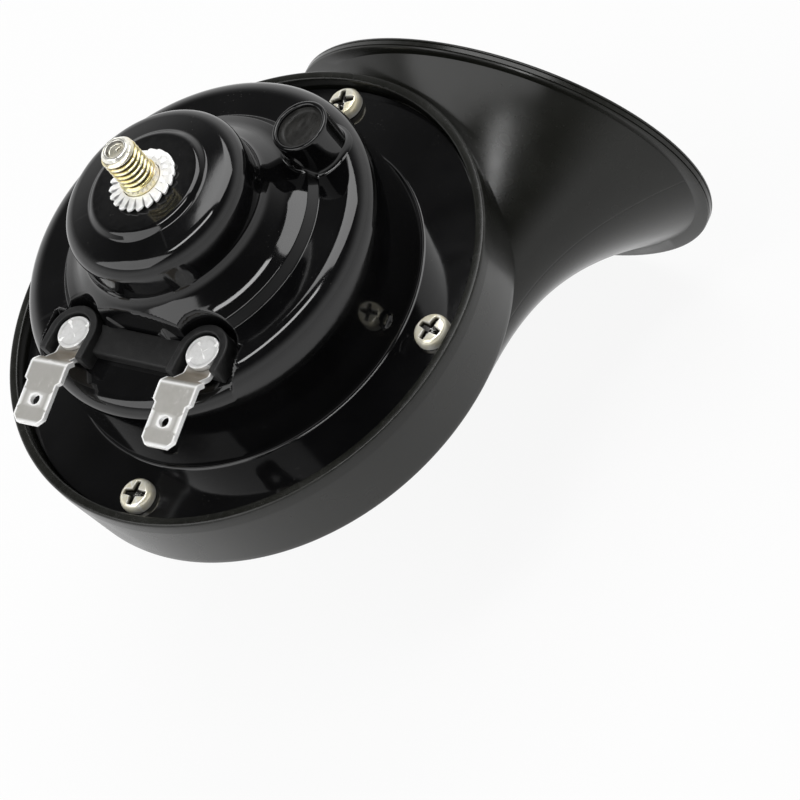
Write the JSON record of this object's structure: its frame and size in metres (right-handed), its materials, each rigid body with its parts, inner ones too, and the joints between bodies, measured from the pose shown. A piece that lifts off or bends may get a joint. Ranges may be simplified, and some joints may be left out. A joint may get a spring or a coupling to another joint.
{
  "type": "car horn",
  "caption": "Snail-trumpet electric car horn with a round black steel housing, a fixing stud on its back, blade terminals and a moulded plastic bell.",
  "frame": {"origin": "on the fixing stud's axis, in the raised face of the back cover that a bracket clamps against", "axes": "+Z out along the fixing stud, +X out through the bell's mouth, terminals towards -X"},
  "size_m": [0.094, 0.0985, 0.0974],
  "materials": {
    "stud_zinc": "yellow passivated zinc, satin",
    "washer_zinc": "bright zinc, satin",
    "black_enamel": "gloss black enamel on steel",
    "sealing_compound": "dull dark grey compound",
    "black_moulding": "satin black moulding",
    "terminal_plate": "tin plate, satin",
    "inner_steel": "plain machined steel",
    "copper_winding": "varnished copper wire",
    "contact_metal": "polished contact metal",
    "spring_steel": "blued spring steel, dull",
    "gasket_rubber": "matt black rubber",
    "trumpet_plastic": "satin black glass-filled plastic",
    "screw_nickel": "nickel plate, lightly yellowed"
  },
  "bodies": {
    "root": {"mounting_stud": "stud_zinc", "tooth_washer": "washer_zinc", "back_cover": "black_enamel", "sealing_plug": "sealing_compound", "adjusting_screw": "inner_steel", "terminal_insulator": "black_moulding", "terminal_left": "terminal_plate", "terminal_right": "terminal_plate", "terminal_rivet_left": "terminal_plate", "terminal_rivet_right": "terminal_plate", "inner_insulator": "black_moulding", "pole_core": "inner_steel", "coil_bobbin": "black_moulding", "coil_winding": "copper_winding", "coil_lead_left": "copper_winding", "coil_lead_right": "copper_winding", "contact_spring": "inner_steel", "contact_spacer": "black_moulding", "contact_bracket": "inner_steel", "contact_washer": "black_moulding", "moving_contact": "contact_metal", "fixed_contact": "contact_metal", "armature": "inner_steel", "armature_washer": "inner_steel", "armature_rivet": "inner_steel", "diaphragm": "spring_steel", "cover_gasket": "gasket_rubber", "body_gasket": "gasket_rubber", "trumpet_back": "trumpet_plastic", "trumpet_front": "trumpet_plastic", "flange_screw_0": "screw_nickel", "flange_screw_90": "screw_nickel", "flange_screw_180": "screw_nickel", "flange_screw_270": "screw_nickel"}
  },
  "joints": []
}
